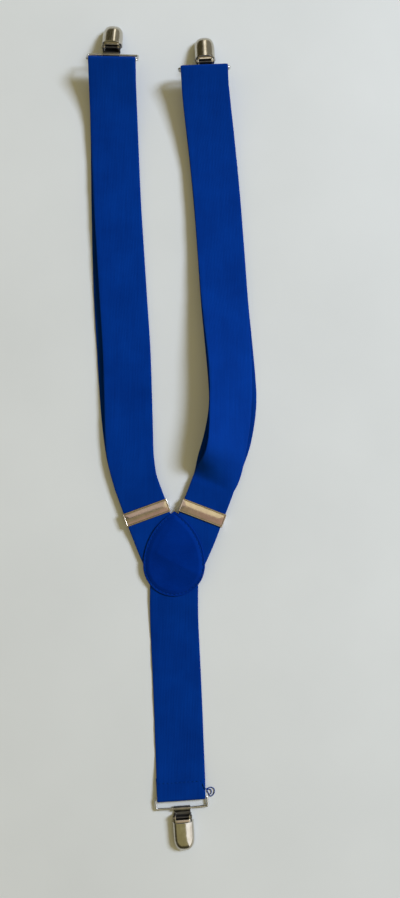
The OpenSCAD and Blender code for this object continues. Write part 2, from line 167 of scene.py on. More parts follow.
class Shader:
    """A node material with one Principled shader and short ways to add nodes to it."""

    def __init__(self, name, **sockets):
        self.material = bpy.data.materials.new(name)
        self.material.use_nodes = True
        self.nodes = self.material.node_tree.nodes
        self.links = self.material.node_tree.links
        self.surface = self.nodes["Principled BSDF"]
        for socket, value in sockets.items():
            self.surface.inputs[socket.replace("_", " ")].default_value = value

    def feed(self, socket, value):
        if isinstance(value, bpy.types.NodeSocket):
            self.links.new(value, socket)
        else:
            socket.default_value = value

    def math(self, operation, a, b=0.0):
        node = self.nodes.new("ShaderNodeMath")
        node.operation = operation
        self.feed(node.inputs[0], a)
        self.feed(node.inputs[1], b)
        return node.outputs[0]

    def place(self):
        """The point's own place on the object, in metres."""
        return self.nodes.new("ShaderNodeTexCoord").outputs["Object"]

    def weave(self):
        """The weave layer's value across and value along."""
        layer = self.nodes.new("ShaderNodeUVMap")
        layer.uv_map = "weave"
        split = self.nodes.new("ShaderNodeSeparateXYZ")
        self.links.new(layer.outputs[0], split.inputs[0])
        return split.outputs[0], split.outputs[1]

    def stretched(self, vector, scale):
        node = self.nodes.new("ShaderNodeMapping")
        self.links.new(vector, node.inputs["Vector"])
        node.inputs["Scale"].default_value = scale
        return node.outputs[0]

    def noise(self, vector, scale, detail=3.0, roughness=0.5):
        node = self.nodes.new("ShaderNodeTexNoise")
        self.links.new(vector, node.inputs["Vector"])
        node.inputs["Scale"].default_value = scale
        node.inputs["Detail"].default_value = detail
        node.inputs["Roughness"].default_value = roughness
        return node.outputs["Fac"]

    def cells(self, vector, scale, feature="F1"):
        node = self.nodes.new("ShaderNodeTexVoronoi")
        node.feature = feature
        self.links.new(vector, node.inputs["Vector"])
        node.inputs["Scale"].default_value = scale
        return node.outputs["Distance"]

    def spread(self, value, low, high, to_low, to_high):
        """Maps low..high to to_low..to_high, clamped."""
        node = self.nodes.new("ShaderNodeMapRange")
        self.links.new(value, node.inputs["Value"])
        for socket, number in zip(("From Min", "From Max", "To Min", "To Max"), (low, high, to_low, to_high)):
            node.inputs[socket].default_value = number
        return node.outputs["Result"]

    def ramp(self, value, *stops):
        """Colour from stops of (position, (r, g, b))."""
        node = self.nodes.new("ShaderNodeValToRGB")
        self.links.new(value, node.inputs["Fac"])
        for i, (position, colour) in enumerate(stops):
            element = node.color_ramp.elements[i] if i < 2 else node.color_ramp.elements.new(position)
            element.position = position
            element.color = (*colour, 1)
        return node.outputs["Color"]

    def bump(self, height, depth, strength=1.0, under=None):
        """A normal from a height of 0 to 1 that stands for depth in millimetres."""
        node = self.nodes.new("ShaderNodeBump")
        node.inputs["Strength"].default_value = strength
        node.inputs["Distance"].default_value = depth * MM
        self.links.new(height, node.inputs["Height"])
        if under is not None:
            self.links.new(under, node.inputs["Normal"])
        return node.outputs["Normal"]

    def set(self, socket, value):
        self.feed(self.surface.inputs[socket], value)


def webbing_material():
    """Royal blue elastic: fine ribs along, picks across that step from rib to rib, painted shade in the
    picks' grooves, a soft sheen.
    """
    shader = Shader(
        "elastic_webbing",
        Roughness=0.78,
        Sheen_Weight=0.1,
        Sheen_Roughness=0.45,
        Sheen_Tint=(0.0, 0.3, 1.0, 1),
        Specular_IOR_Level=0.12,
        Specular_Tint=(0.05, 0.35, 1.0, 1),
    )
    rib, pick = shader.weave()
    step = shader.math("MULTIPLY", shader.math("FLOOR", rib), math.pi)
    wave = shader.math("SINE", shader.math("ADD", shader.math("MULTIPLY", pick, 2 * math.pi), step))
    picks = shader.spread(wave, -1, 1, 0, 1)
    place = shader.place()
    fuzz = shader.noise(place, 2600, 4, 0.65)
    cloud = shader.noise(place, 38, 3, 0.55)
    streak = shader.noise(shader.stretched(place, (900, 22, 22)), 1, 2, 0.5)
    tone = shader.math("ADD", shader.math("MULTIPLY", cloud, 0.5), shader.math("MULTIPLY", streak, 0.25))
    tone = shader.math("ADD", tone, shader.math("MULTIPLY", fuzz, 0.2))
    # Painted shade: the picks' grooves, low in the bump, are painted slightly darker than the raised picks.
    tone = shader.math("ADD", tone, shader.math("MULTIPLY", picks, 0.05))
    shader.set("Base Color", shader.ramp(tone, (0.3, (0.0004, 0.020, 0.175)), (0.7, (0.0008, 0.036, 0.275))))
    shader.set("Normal", shader.bump(fuzz, 0.03, 0.4, shader.bump(picks, 0.05, 0.6)))
    return shader.material


def leather_material():
    """Imitation leather: irregular pebbles, finer wrinkles, its gloss varying with the wrinkles."""
    shader = Shader("yoke_leather", Specular_IOR_Level=0.12, Specular_Tint=(0.02, 0.35, 1.0, 1))
    place = shader.place()
    pebble = shader.cells(place, 1500, "SMOOTH_F1")
    wrinkle = shader.noise(place, 700, 5, 0.6)
    cloud = shader.noise(place, 55, 3, 0.5)
    tone = shader.math("ADD", shader.math("MULTIPLY", cloud, 0.7), shader.math("MULTIPLY", pebble, 0.3))
    shader.set("Base Color", shader.ramp(tone, (0.3, (0.0002, 0.017, 0.18)), (0.75, (0.0003, 0.025, 0.25))))
    shader.set("Roughness", shader.spread(wrinkle, 0.3, 0.7, 0.46, 0.62))
    shader.set("Normal", shader.bump(wrinkle, 0.08, 0.5, shader.bump(pebble, 0.06, 0.5)))
    return shader.material


def thread_material():
    """Blue polyester thread with fine fibres."""
    shader = Shader("sewing_thread", Roughness=0.7, Specular_IOR_Level=0.12, Specular_Tint=(0.1, 0.4, 1.0, 1))
    place = shader.place()
    fibre = shader.noise(place, 5200, 3, 0.6)
    shader.set("Base Color", shader.ramp(fibre, (0.3, (0.001, 0.022, 0.16)), (0.7, (0.002, 0.042, 0.26))))
    shader.set("Normal", shader.bump(fibre, 0.03, 0.5))
    return shader.material


def plated_material(name, light, dark, roughness, brushed=False):
    """Plated metal with faint stains, fine scratches and wear that opens on the proud edges."""
    shader = Shader(name, Metallic=1.0)
    place = shader.place()
    stain = shader.noise(place, 190, 4, 0.6)
    grain = shader.noise(place, 3200, 3, 0.6)
    scratch_scale = (5200, 420, 900) if brushed else (2600, 500, 700)
    scratch = shader.noise(shader.stretched(place, scratch_scale), 1, 2, 0.5)
    pointed = shader.nodes.new("ShaderNodeNewGeometry").outputs["Pointiness"]
    wear = shader.spread(pointed, 0.52, 0.6, 0, 0.25)
    tone = shader.math("ADD", shader.math("MULTIPLY", stain, 0.8), wear)
    shader.set("Base Color", shader.ramp(tone, (0.3, dark), (0.75, light)))
    shader.set("Roughness", shader.spread(grain, 0.3, 0.7, roughness * 0.8, roughness * 1.3))
    shader.set("Normal", shader.bump(scratch, 0.012, 0.35, shader.bump(stain, 0.05, 0.3)))
    return shader.material


def floor_material():
    """Matt off-white with the faintest mottling."""
    shader = Shader("pale_floor", Roughness=0.75, Specular_IOR_Level=0.2)
    mottle = shader.noise(shader.place(), 9, 4, 0.5)
    shader.set("Base Color", shader.ramp(mottle, (0.3, (0.72, 0.73, 0.72)), (0.7, (0.76, 0.77, 0.76))))
    return shader.material


WEBBING = webbing_material()
LEATHER = leather_material()
THREAD = thread_material()
CLIP_NICKEL = plated_material("clip_nickel", (0.66, 0.63, 0.56), (0.50, 0.46, 0.38), 0.16)
SLIDE_NICKEL = plated_material("slide_nickel", (0.6, 0.53, 0.42), (0.46, 0.4, 0.33), 0.12)
SLIDE_STEEL = plated_material("slide_steel", (0.5, 0.49, 0.46), (0.38, 0.36, 0.33), 0.32, brushed=True)
# Painted shade: the base's nickel is painted far darker than the lid's, for the base that lies in shade under
# the lid.
SHADED_BASE_NICKEL = plated_material("shaded_base_nickel", (0.34, 0.33, 0.31), (0.15, 0.15, 0.16), 0.2)
WIRE_STEEL = plated_material("steel_wire", (0.66, 0.66, 0.64), (0.5, 0.49, 0.46), 0.22)
# Painted shade: the jaw and pin steel is painted far darker than the wire's, for the clip's shaded inside
# under the lid.
SHADED_SPRING_STEEL = plated_material("spring_steel", (0.2, 0.2, 0.2), (0.07, 0.07, 0.08), 0.3, brushed=True)


# ---------------------------------------------------------------- camera

CAMERA_PLACE = (0.0188, 0.0494, 0.571)
CAMERA_TILT = math.radians(2.93)
LENS = 31.18

camera_data = bpy.data.cameras.new("camera")
camera_data.sensor_fit = "VERTICAL"
camera_data.sensor_height = 36
camera_data.lens = LENS
camera_data.clip_start = 0.01
camera = bpy.data.objects.new("camera", camera_data)
camera.location = CAMERA_PLACE
camera.rotation_euler = (CAMERA_TILT, 0, 0)
bpy.context.scene.collection.objects.link(camera)
bpy.context.scene.camera = camera


# ---------------------------------------------------------------- loose thread

THREAD_R = 0.35
THREAD_ROUTE = [
    [20.9, -160.9, 3.6], [21.3, -162.3, 3.7], [21.9, -163.6, 3.85], [22.7, -164.5, 4], [23.5, -165, 3.4],
    [24, -165.2, 2], [24.8, -165.2, 0.7], [25.8, -164.9, THREAD_R], [27, -164.8, THREAD_R],
    [28.3, -165.4, THREAD_R], [29.1, -166.8, THREAD_R], [28.9, -168.6, THREAD_R],
    [28, -170.1, THREAD_R], [26.7, -171, THREAD_R], [25.6, -170.5, THREAD_R],
    [25.1, -169.3, THREAD_R], [24.5, -168.3, THREAD_R], [24, -167.4, THREAD_R],
    [24.2, -166.5, THREAD_R], [25, -166.1, THREAD_R], [26, -166.3, THREAD_R],
    [26.8, -167, THREAD_R], [27, -168, THREAD_R], [26.7, -169, THREAD_R], [26.2, -169.5, THREAD_R],
]


def tube_rings(line, radii, sides, twist=0.0, closed=False, normal=None):
    """Rings of points round a line; radii is one radius, or a function of the angle round it."""
    line = np.asarray(line, float)
    if closed:
        along = np.roll(line, -1, 0) - np.roll(line, 1, 0)
    else:
        along = np.gradient(line, axis=0)
    rings = []
    angle = 2 * np.pi * np.arange(sides) / sides
    reach = radii(angle) if callable(radii) else np.full(sides, radii)
    for i, (point, direction) in enumerate(zip(line, along)):
        direction = unit(direction)
        side = unit(np.cross(direction, UP if normal is None else normal))
        up = np.cross(side, direction)
        turned = angle + twist * i
        rings.append(point + reach[:, None] * (np.cos(turned)[:, None] * side + np.sin(turned)[:, None] * up))
    return np.array(rings)


def loose_thread():
    """Three plies twisted together, from the hem to two nested loops on the floor."""
    line = smooth_curve(THREAD_ROUTE, 0.22)

    def plies(angle):
        return THREAD_R * (0.86 + 0.14 * np.cos(3 * angle))

    rings = tube_rings(line, plies, 12, twist=0.16)
    count, size = rings.shape[:2]
    faces = [list(f) for f in quads_between(count, size, True)]
    faces += [list(range(size)), list(range((count - 1) * size, count * size))]
    piece = new_piece("thread_tail_twisted", rings.reshape(-1, 3), faces)
    finish_piece(piece, THREAD, "webbing", "sewing_thread", "thread_tail")


loose_thread()


# ---------------------------------------------------------------- webbing paths

WEB_W = 35.0
WEB_T = 1.2
WEB_SLIDE_W = 32.0
FOLD_W = WEB_W - 0.4
HEM_L = 14.0
WIRE_R = 0.8
CLEAR = 0.15
FOLD_R = WIRE_R + CLEAR + WEB_T / 2
FLOOR_Z = WEB_T / 2
BAR_T = 1.0
BAR_H = 5.0
SLIDE_H = 10.0
SLIDE_TRAVEL = 18.0
STRAIGHT = SLIDE_TRAVEL + SLIDE_H / 2 + 1
BAR_Z = WEB_T + 0.1 + BAR_T / 2
TAIL_Z = BAR_Z + BAR_T / 2 + 0.1 + WEB_T / 2
RUN_Z = TAIL_Z + WEB_T + CLEAR
STRAP_RISE = {"left": 24, "right": 18, "rear": 6}

# Stations are x, y, z, bank and width. A banked band has its left edge, seen along it, raised.
OUTER_START = {
    "left": [[-4.2, -3, 3.05, 0, WEB_W], [-9.7, 8, 3.05, 0, 34], [-14.4, 18.4, 3.15, 0, 33]],
    "right": [[4.2, -3, 4.4, 0, WEB_W], [9.9, 8, 4.4, 0, 34], [14.9, 18.4, 4.4, 0, 33]],
}
OUTER_RUN = {
    "left": [
        [-31.8, 72, 4.2, 2, 34], [-33.1, 92, 3.8, 4, WEB_W], [-33.9, 118, 3.5, 5, WEB_W],
        [-35.2, 152, 3.4, 5, WEB_W], [-37.7, 189, 3.4, 5, WEB_W], [-40.2, 226, 3.4, 5, WEB_W],
        [-42.6, 263, 3.5, 4, WEB_W], [-44.5, 305, 4.2, 2, WEB_W], [-45.5, 333, 7.3, 0, WEB_W],
        [-45.9, 350.6, 13, 0, FOLD_W],
    ],
    "right": [
        [34.2, 64.5, 9.5, 22, 33.5], [37.6, 76, 12.8, 33, 34.5], [39.9, 92, 12.8, 32, WEB_W],
        [41.2, 114, 11.4, 27, WEB_W], [41.1, 136, 10.8, 25, WEB_W], [39.4, 158, 9.8, 21, WEB_W],
        [36.8, 188, 7.8, 14, WEB_W], [34.2, 225, 6, 9, WEB_W], [31.6, 262, 5.4, 7, WEB_W],
        [28.2, 297, 6.2, 4, WEB_W], [24.5, 328, 10.8, 1, WEB_W], [22.7, 344, 14.1, 0, FOLD_W],
    ],
}
RETURN_RUN = {
    "left": [
        [-32.2, 71, FLOOR_Z, 0, 34], [-35.1, 92, FLOOR_Z, 0, WEB_W], [-37.6, 118, FLOOR_Z, 0, WEB_W],
        [-39.9, 152, FLOOR_Z, 0, WEB_W], [-42.3, 189, FLOOR_Z, 0, WEB_W],
        [-43.8, 227, FLOOR_Z, 0, WEB_W], [-44.8, 265, FLOOR_Z, 0, WEB_W],
        [-45.5, 305, 1, 0, WEB_W], [-45.8, 333, 4, 0, WEB_W], [-45.9, 350.6, 9.6, 0, FOLD_W],
    ],
    "right": [
        [33.6, 69, FLOOR_Z, 0, 34], [38.4, 84, FLOOR_Z, 0, WEB_W], [41.6, 100, FLOOR_Z, 0, WEB_W],
        [42.9, 115, FLOOR_Z, 0, WEB_W], [42.2, 131, FLOOR_Z, 0, WEB_W],
        [39.8, 158, FLOOR_Z, 0, WEB_W], [37, 188, FLOOR_Z, 0, WEB_W],
        [34.4, 225, FLOOR_Z, 0, WEB_W], [31.6, 262, FLOOR_Z, 0, WEB_W],
        [28.2, 297, 2.4, 0, WEB_W], [24.5, 328, 7.5, 0, WEB_W], [22.7, 344, 10.8, 0, FOLD_W],
    ],
}
REAR_RUN = [
    [0, 6, 1.7, 0, WEB_W], [0, -14, 1.7, 0, WEB_W], [-0.1, -31, 1.7, 0, WEB_W],
    [0, -42, 1, 0, WEB_W], [0.4, -54, FLOOR_Z, 0, WEB_W], [1.4, -74, FLOOR_Z, 0, WEB_W],
    [2.8, -104, FLOOR_Z, 0, WEB_W], [4, -134, FLOOR_Z, 0, WEB_W], [4.5, -146, 1, 0, WEB_W],
    [4.9, -155, 2, 0, WEB_W], [5.2, -164, 2.75, 0, WEB_W],
]
SPACING = 2.6
FOLD_STEP = 9


def slide_axes(side):
    """A slide's middle on the floor, the way its strap runs, and the way across it."""
    heading = joint_axis(f"slide_{side}_travel")
    middle = node_middle(f"slide_{side}_bar")
    return middle * [1, 1, 0], heading, np.array([heading[1], -heading[0], 0])


def on_slide(side, distance, z):
    middle, heading, _ = slide_axes(side)
    place = middle + distance * heading
    return [place[0], place[1], z, 0, WEB_SLIDE_W]


def band_path(stations):
    """Rows of place, direction across and width for webbing through the stations."""
    rows = smooth_curve(stations, SPACING)
    along = np.vstack([rows[1:], rows[-1:]]) - np.vstack([rows[:1], rows[:-1]])
    flat = np.stack([along[:, 1], -along[:, 0], np.zeros(len(rows))], -1)
    flat /= np.linalg.norm(flat, axis=1)[:, None]
    bank = np.radians(rows[:, 3])[:, None]
    across = flat * np.cos(bank) - UP * np.sin(bank)
    return np.hstack([rows[:, :3], across, rows[:, 4:5]])


def arc_rows(middle, across, ahead, radius, angles_deg, width):
    """Rows for webbing bent round an axis; 90 degrees is above it and 0 is ahead of it."""
    rows = []
    for angle in np.radians(angles_deg):
        place = middle + radius * (math.cos(angle) * ahead + math.sin(angle) * UP)
        rows.append([*place, *across, width])
    return np.array(rows)


def clip_axes(clip):
    """A clip's loop bar, the way across the clip and the way ahead of it, level."""
    across = joint_axis(f"clip_{clip}_loop_swing")
    return joint_place(f"clip_{clip}_loop_swing"), across, np.cross(UP, across)


def fold_rows(clip):
    """Half a turn of webbing round a loop's strap bar, from above it to below it."""
    bar, across, ahead = clip_axes(clip)
    angles = np.arange(90, -90.1, -FOLD_STEP) + STRAP_RISE[clip]
    return arc_rows(bar, across, ahead, FOLD_R, angles, FOLD_W)


def front_path(side):
    """The outer layer, from the yoke through its slide to the fold round its loop."""
    through = [on_slide(side, d, RUN_Z) for d in (-6, 6, STRAIGHT - 4, STRAIGHT)]
    stations = OUTER_START[side] + through + OUTER_RUN[side]
    return np.vstack([band_path(stations), fold_rows(side)])


def return_path(side):
    """From the hem's end, round the slide's bar, then along the floor to the clip's loop."""
    middle, heading, across = slide_axes(side)
    middle = middle + [0, 0, BAR_Z]
    lift = TAIL_Z - BAR_Z
    tail = [[*(middle + d * heading + [0, 0, lift]), *across, WEB_SLIDE_W] for d in (HEM_L, 11, 8, 5, 2, -1)]
    bend = np.arange(90, -90.1, -FOLD_STEP)
    turn = arc_rows(middle - BAR_H / 2 * heading, across, -heading, lift, bend, WEB_SLIDE_W)
    lead = [on_slide(side, d, FLOOR_Z) for d in (4, STRAIGHT)]
    bar, clip_across, ahead = clip_axes(side)
    rise = math.radians(STRAP_RISE[side])
    uphill = math.cos(rise) * ahead + math.sin(rise) * UP
    below = bar + FOLD_R * (math.sin(rise) * ahead - math.cos(rise) * UP)
    end = [[*(below - 0.1 * uphill), *clip_across, FOLD_W]]
    return np.vstack([tail, turn, band_path(lead + RETURN_RUN[side]), end])


def rear_path():
    """The rear strap, with its fold and the hem below it."""
    bar, across, ahead = clip_axes("rear")
    hem = [[*(bar - [0, 0, FOLD_R] - d * ahead), *across, WEB_W] for d in (2, 5, 8, 11, HEM_L)]
    return np.vstack([band_path(REAR_RUN), fold_rows("rear"), hem])


# ---------------------------------------------------------------- webbing

RIBS = 30
RIB_SAMPLES = 4
RIB_DEEP = 0.07
EDGE_R = 0.45
SELVEDGE_W = 1.6
SELVEDGE_THIN = 0.14
PICK_PITCH = 0.8
RIPPLE = 0.14
RIPPLE_WAVE = 31.0


def webbing_section():
    """The cross-section's places across as a share of the flat half width, the reach of its round
    edges beyond that, its heights and its rib numbers."""
    share = np.linspace(-1, 1, RIBS * RIB_SAMPLES + 1)
    rib = (share + 1) / 2 * RIBS
    groove = 1 - np.abs(np.sin(np.pi * rib))
    thin = np.clip((np.abs(share) * WEB_W / 2 - (WEB_W / 2 - SELVEDGE_W)) / SELVEDGE_W, 0, 1)
    height = WEB_T / 2 - RIB_DEEP * groove**1.5 - SELVEDGE_THIN * thin**2 * (3 - 2 * thin)
    edge_height = height[-1]
    bend = np.radians([25, 55, 90, 125, 155])
    right = [(1, EDGE_R * math.sin(a), edge_height * math.cos(a), RIBS) for a in bend]
    left = [(-1, -EDGE_R * math.sin(a), -edge_height * math.cos(a), 0) for a in bend]
    top = [(s, 0, h, r) for s, h, r in zip(share, height, rib)]
    bottom = [(s, 0, -h, r) for s, h, r in zip(share[::-1], height[::-1], rib[::-1])]
    return np.array(top + right + bottom + left).T


def webbing_piece(name, path, calm):
    """A length of ribbed webbing along a path. Its edges ripple slightly, except where calm is 1."""
    place, across, width = path[:, :3], path[:, 3:6], path[:, 6]
    along = np.gradient(place, axis=0)
    across = across / np.linalg.norm(across, axis=1)[:, None]
    up = np.cross(across, along)
    up /= np.linalg.norm(up, axis=1)[:, None]
    run = np.concatenate([[0], np.cumsum(np.linalg.norm(np.diff(place, axis=0), axis=1))])
    share, beyond, height, rib = webbing_section()
    sideways = share[None, :] * (width[:, None] / 2 - EDGE_R) + beyond[None, :]
    phase = 2 * np.pi * run / RIPPLE_WAVE
    left_edge = np.sin(phase) + 0.6 * np.sin(2.3 * phase + 1.1)
    right_edge = np.sin(1.13 * phase + 2.4) + 0.6 * np.sin(2.7 * phase + 0.3)
    edge = np.where(share[None, :] < 0, left_edge[:, None], right_edge[:, None])
    ripple = RIPPLE * edge * np.abs(share[None, :]) ** 3 * (1 - calm(run))[:, None]
    upward = height[None, :] + ripple
    points = place[:, None] + sideways[..., None] * across[:, None] + upward[..., None] * up[:, None]
    count, size = upward.shape
    faces = [list(f) for f in quads_between(count, size, True)]
    faces += [list(range(size)), list(range((count - 1) * size, count * size))]
    piece = new_piece(name, points.reshape(-1, 3), faces)
    weave_uv(piece, np.tile(rib, count), np.repeat(run / PICK_PITCH, size))
    piece["flat_length_mm"] = float(run[-1])
    return piece


def calm_at_ends(first, last, fade=25.0):
    def calm(run):
        start = 1 - np.clip((run - first) / fade, 0, 1)
        end = 1 - np.clip((run[-1] - last - run) / fade, 0, 1)
        return np.maximum(start, end)

    return calm


def declare_webbing(piece):
    del piece["flat_length_mm"]


PATHS = {f"{side}_front": front_path(side) for side in SIDES}
PATHS |= {f"{side}_return": return_path(side) for side in SIDES}
PATHS["rear"] = rear_path()


def front_straps():
    for side in SIDES:
        node = f"front_strap_{side}"
        outer = webbing_piece(f"{node}_webbing", PATHS[f"{side}_front"], calm_at_ends(75, 20))
        finish_piece(outer, WEBBING, "webbing", "webbing", node)
        declare_webbing(outer)

        path = PATHS[f"{side}_return"]
        lower = webbing_piece(f"{node}_return_webbing", path, calm_at_ends(75, 20))
        finish_piece(lower, WEBBING, None, "webbing", f"{node}_return")
        declare_webbing(lower)
        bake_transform(lower)


def rear_strap():
    strap = webbing_piece("rear_strap_webbing", PATHS["rear"], calm_at_ends(30, 25))
    finish_piece(strap, WEBBING, "webbing", "webbing", "rear_strap")
    declare_webbing(strap)


# ---------------------------------------------------------------- yoke

YOKE_R = 22.4
YOKE_POINT = 39.0
YOKE_Y = -6.0
ARCH_C = (YOKE_POINT**2 - YOKE_R**2) / (2 * YOKE_R)
ARCH_R = YOKE_R + ARCH_C
BACK_T = 1.0
LEATHER_T = 0.95
SEAM_INSET = 1.5
SEAM_W = 1.1
SEAM_DEEP = 0.3
CROWN = 0.55
DRAPE_SLOPE = 0.2
GRID = 0.5


def yoke_ring(inset, circle_steps=72, arch_steps=44):
    """Points round the yoke's outline at an inset: a half circle below, a pointed arch above."""
    low = np.pi + np.pi * np.arange(circle_steps) / circle_steps
    half_circle = (YOKE_R - inset) * np.stack([np.cos(low), np.sin(low)], -1)
    radius = ARCH_R - inset
    end = math.acos(min(1, ARCH_C / radius))
    arch = end * np.arange(arch_steps) / arch_steps
    right = np.stack([radius * np.cos(arch) - ARCH_C, radius * np.sin(arch)], -1)
    tip = [[0, radius * math.sin(end)]]
    left = right[:0:-1] * [-1, 1]
    return np.vstack([half_circle, right, tip, left]) + [0, YOKE_Y]


def raise_over(height, xs, ys, path, top):
    """Raises a height field to what lies on top of webbing that runs along a path."""
    place, across, width = path[:, :3], path[:, 3:5], path[:, 6]
    across = across / np.linalg.norm(across, axis=1)[:, None]
    ahead = np.stack([-across[:, 1], across[:, 0]], -1)
    gx, gy = np.meshgrid(xs, ys)
    spot = np.stack([gx.ravel(), gy.ravel()], -1)
    away = spot[:, None] - place[None, :, :2]
    sideways = (away * across).sum(-1)
    onward = np.abs((away * ahead).sum(-1))
    under = (np.abs(sideways) < width / 2 + 0.3) & (onward < SPACING)
    raised = np.where(under, place[:, 2] + WEB_T / 2 + top, 0).max(1)
    return np.maximum(height, raised.reshape(height.shape))


def draped_height():
    """The height of the front patch's underside over the straps, on a grid of x and y."""
    xs = np.arange(-YOKE_R - 2, YOKE_R + 2.1, GRID)
    ys = np.arange(YOKE_Y - YOKE_R - 2, YOKE_Y + YOKE_POINT + 2.1, GRID)
    solid = np.full((len(ys), len(xs)), BACK_T + 0.1)
    for path in (PATHS["rear"], PATHS["left_front"], PATHS["right_front"]):
        near = path[np.hypot(path[:, 0], path[:, 1] - 4) < 62]
        solid = raise_over(solid, xs, ys, near, 0.1)
    height = solid.copy()
    step = DRAPE_SLOPE * GRID
    diagonal = step * math.sqrt(2)
    for _ in range(160):
        p = np.pad(height, 1, mode="edge")
        beside = np.maximum.reduce([p[:-2, 1:-1], p[2:, 1:-1], p[1:-1, :-2], p[1:-1, 2:]]) - step
        corner = np.maximum.reduce([p[:-2, :-2], p[2:, 2:], p[2:, :-2], p[:-2, 2:]]) - diagonal
        height = np.maximum.reduce([height, beside, corner])
    for _ in range(60):
        p = np.pad(height, 1, mode="edge")
        height = np.maximum(solid, (p[:-2, 1:-1] + p[2:, 1:-1] + p[1:-1, :-2] + p[1:-1, 2:]) / 4)
    for _ in range(6):
        p = np.pad(height, 1, mode="edge")
        height = (p[:-2, 1:-1] + p[2:, 1:-1] + p[1:-1, :-2] + p[1:-1, 2:] + 4 * height) / 8
    return xs, ys, height


def sample(field, spots):
    """Bilinear values of a height field at x, y spots."""
    xs, ys, height = field
    fx = np.clip((spots[:, 0] - xs[0]) / GRID, 0, len(xs) - 1.001)
    fy = np.clip((spots[:, 1] - ys[0]) / GRID, 0, len(ys) - 1.001)
    i, j = fx.astype(int), fy.astype(int)
    u, v = fx - i, fy - j
    low = height[j, i] * (1 - u) + height[j, i + 1] * u
    high = height[j + 1, i] * (1 - u) + height[j + 1, i + 1] * u
    return low * (1 - v) + high * v


def smoothstep(value, low, high):
    t = np.clip((value - low) / (high - low), 0, 1)
    return t * t * (3 - 2 * t)


def patch_top(inset):
    """How far the front patch's face is above its underside, at an inset from its edge."""
    groove = math.exp(-(((inset - SEAM_INSET) / (SEAM_W / 2)) ** 2))
    return LEATHER_T - SEAM_DEEP * groove + CROWN * smoothstep(inset, SEAM_INSET + 0.3, SEAM_INSET + 3.2)


def rings_to_piece(name, rings):
    """A closed piece from successive rings; the first and last are each filled with one face."""
    size = len(rings[0])
    points = np.vstack(rings)
    faces = [list(f) for f in quads_between(len(rings), size, True)]
    faces += [list(range(size)), list(range(len(points) - size, len(points)))]
    return new_piece(name, points, faces)


def front_patch(field):
    """The yoke's leather, draped over the straps and stitched in a groove near its edge."""
    rings = []
    for inset in [22, 20, 17, 14, 11, 8, 6, 4, 2.5, 1.5, 0.8, 0.3]:
        spots = yoke_ring(inset)
        rings.append(np.column_stack([spots, sample(field, spots)]))
    for inset, share in ((0.08, 0.18), (0, 0.5), (0.08, 0.82)):
        spots = yoke_ring(inset)
        rings.append(np.column_stack([spots, sample(field, spots) + share * LEATHER_T]))
    for inset in np.concatenate([np.arange(0.3, 6, 0.22), np.arange(6, 22.1, 0.8)]):
        spots = yoke_ring(inset)
        rings.append(np.column_stack([spots, sample(field, spots) + patch_top(inset)]))
    piece = rings_to_piece("yoke_front_leather", rings)
    finish_piece(piece, LEATHER, "webbing", "yoke_leather", "yoke_patch_front")


def back_patch():
    """A flat patch with rounded edges; its profile gives each ring's inset and height."""
    profile = [(20, 0.02), (8, 0.02), (0.5, 0.02), (0.15, 0.12), (0, 0.4)]
    profile += [(0.1, 0.8), (0.4, 0.98), (8, 0.98), (20, 0.98)]
    rings = []
    for inset, z in profile:
        spots = yoke_ring(inset)
        rings.append(np.column_stack([spots, np.full(len(spots), z)]))
    piece = rings_to_piece("yoke_back_leather", rings)
    finish_piece(piece, LEATHER, "webbing", "yoke_leather", "yoke_patch_back")


STITCH_L = 2.1
STITCH_R = 0.24


def stitch_rings(middle, along, up, sunk):
    """A stitch: a short bowed run of thread whose two ends go down into what it holds."""
    share = np.linspace(-1, 1, 9)
    bow = np.sqrt(np.clip(1 - share**2, 0, 1)) * (sunk + STITCH_R) - sunk
    line = middle + share[:, None] * STITCH_L / 2 * along + bow[:, None] * up
    rings = tube_rings(line, STITCH_R, 8)
    taper = 0.45 + 0.55 * np.sqrt(np.clip(1 - share**4, 0, 1))
    return line[:, None] + (rings - line[:, None]) * taper[:, None, None]


def stitches_piece(name, stitches, node):
    """One piece from many separate stitches."""
    points, faces = [], []
    for rings in stitches:
        first = sum(len(p) for p in points)
        count, size = rings.shape[:2]
        points.append(rings.reshape(-1, 3))
        faces += [[first + int(k) for k in f] for f in quads_between(count, size, True)]
        faces += [[first + k for k in range(size)], [first + (count - 1) * size + k for k in range(size)]]
    piece = new_piece(name, np.vstack(points), faces)
    return finish_piece(piece, THREAD, "webbing", "sewing_thread", node)


def yoke_stitching(field):
    """One row of stitches in the seam's groove, round the half circle and up both arches."""
    spots, directions = [], []
    for angle in np.radians(np.arange(184, 357, 8)):
        spots.append([(YOKE_R - SEAM_INSET) * math.cos(angle), (YOKE_R - SEAM_INSET) * math.sin(angle)])
        directions.append([-math.sin(angle), math.cos(angle)])
    radius = ARCH_R - SEAM_INSET
    last = math.degrees(math.acos(ARCH_C / radius)) - 3
    for side in (1, -1):
        for angle in np.radians(np.arange(1.5, last, 3.9)):
            spots.append([side * (radius * math.cos(angle) - ARCH_C), radius * math.sin(angle)])
            directions.append([-side * math.sin(angle), math.cos(angle)])
    spots = np.array(spots) + [0, YOKE_Y]
    heights = sample(field, spots) + patch_top(SEAM_INSET)
    stitches = []
    for spot, direction, height in zip(spots, directions, heights):
        ends = np.array([spot + s * STITCH_L / 2 * np.array(direction) for s in (-1, 1)])
        rise = float(np.diff(sample(field, ends))[0]) / STITCH_L
        along = unit([*direction, rise])
        up = unit(UP - along * along[2])
        stitches.append(stitch_rings(np.array([*spot, height]), along, up, 0.2))
    stitches_piece("yoke_stitching_thread", stitches, "yoke_stitching")


